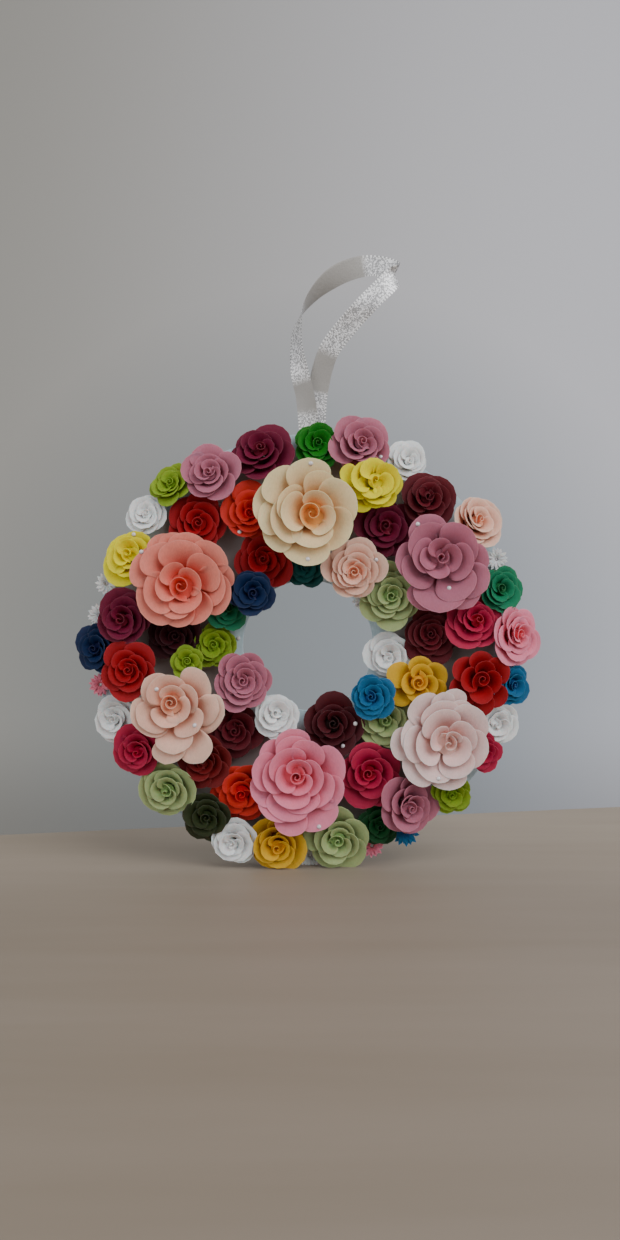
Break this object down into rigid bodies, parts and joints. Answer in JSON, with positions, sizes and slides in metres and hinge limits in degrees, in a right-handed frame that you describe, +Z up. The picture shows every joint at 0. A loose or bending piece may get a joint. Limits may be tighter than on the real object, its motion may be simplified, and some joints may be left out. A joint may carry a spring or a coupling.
{
  "type": "paper flower wreath",
  "caption": "Ring-shaped board covered with rolled and cut paper flowers and half pearls, with a silver ribbon loop to hang it by.",
  "frame": {"origin": "middle of the ring on the board's flat back, which lies against the wall", "axes": "+Z up as it hangs, -Y the way the flowers face, +Y into the wall"},
  "size_m": [0.23, 0.0326, 0.3017],
  "materials": {
    "board": "pale blue craft board, smooth and matt",
    "ribbon": "silver metallic woven ribbon that sparkles",
    "pearl": "pearly half bead",
    "paper_blush": "blush craft paper, matt, rolled and cut",
    "paper_brown": "brown craft paper, matt, rolled and cut",
    "paper_cerulean": "cerulean craft paper, matt, rolled and cut",
    "paper_cream": "cream craft paper, matt, rolled and cut",
    "paper_crimson": "crimson craft paper, matt, rolled and cut",
    "paper_dark_plum": "dark plum craft paper, matt, rolled and cut",
    "paper_dark_red": "dark red craft paper, matt, rolled and cut",
    "paper_emerald": "emerald craft paper, matt, rolled and cut",
    "paper_golden": "golden craft paper, matt, rolled and cut",
    "paper_green": "green craft paper, matt, rolled and cut",
    "paper_lime": "lime craft paper, matt, rolled and cut",
    "paper_maroon": "maroon craft paper, matt, rolled and cut",
    "paper_mauve": "mauve craft paper, matt, rolled and cut",
    "paper_navy": "navy craft paper, matt, rolled and cut",
    "paper_olive": "olive craft paper, matt, rolled and cut",
    "paper_orange": "orange craft paper, matt, rolled and cut",
    "paper_peach": "peach craft paper, matt, rolled and cut",
    "paper_pine": "pine craft paper, matt, rolled and cut",
    "paper_pink": "pink craft paper, matt, rolled and cut",
    "paper_plum": "plum craft paper, matt, rolled and cut",
    "paper_raspberry": "raspberry craft paper, matt, rolled and cut",
    "paper_red": "red craft paper, matt, rolled and cut",
    "paper_sage": "sage craft paper, matt, rolled and cut",
    "paper_salmon": "salmon craft paper, matt, rolled and cut",
    "paper_teal": "teal craft paper, matt, rolled and cut",
    "paper_white": "white craft paper, matt, rolled and cut",
    "paper_yellow": "yellow craft paper, matt, rolled and cut"
  },
  "bodies": {
    "root": {"base_board": "board", "blue_daisy": "paper_cerulean", "blush_rose": "paper_blush", "brown_rose": "paper_brown", "cerulean_rose_inner": "paper_cerulean", "cream_rose": "paper_cream", "crimson_rose_bottom": "paper_crimson", "crimson_rose_right": "paper_crimson", "dark_plum_rose": "paper_dark_plum", "dark_red_rose": "paper_dark_red", "emerald_rose_left": "paper_emerald", "emerald_rose_right": "paper_emerald", "golden_rose_bottom": "paper_golden", "golden_rose_right": "paper_golden", "green_rose_top": "paper_green", "half_pearls": "pearl", "hanging_ribbon": "ribbon", "large_mauve_rose": "paper_mauve", "large_peach_rose": "paper_peach", "large_pink_rose": "paper_pink", "maroon_rose_bottom": "paper_maroon", "maroon_rose_right": "paper_maroon", "maroon_rose_top": "paper_maroon", "mauve_rose_bottom": "paper_mauve", "mauve_rose_inner": "paper_mauve", "mauve_rose_left": "paper_mauve", "mauve_rose_right": "paper_mauve", "navy_rose_inner": "paper_navy", "navy_rose_left": "paper_navy", "olive_rose": "paper_olive", "orange_rose_bottom": "paper_orange", "orange_rose_top": "paper_orange", "peach_rose_inner": "paper_peach", "peach_rose_right": "paper_peach", "pine_rose": "paper_pine", "pink_daisies": "paper_pink", "pink_rose_right": "paper_pink", "plum_rose_left": "paper_plum", "plum_rose_right": "paper_plum", "plum_rose_top": "paper_plum", "raspberry_rose": "paper_raspberry", "red_rose_inner": "paper_red", "red_rose_left": "paper_red", "red_rose_right": "paper_red", "red_rose_top": "paper_red", "sage_rose_bottom": "paper_sage", "sage_rose_inner": "paper_sage", "sage_rose_left": "paper_sage", "sage_rose_right": "paper_sage", "salmon_rose": "paper_salmon", "small_cerulean_rose": "paper_cerulean", "small_crimson_rose": "paper_crimson", "small_lime_roses": "paper_lime", "small_white_roses": "paper_white", "teal_rose": "paper_teal", "tiny_lime_rose": "paper_lime", "white_daisies": "paper_white", "yellow_rose_left": "paper_yellow", "yellow_rose_top": "paper_yellow"}
  },
  "joints": []
}
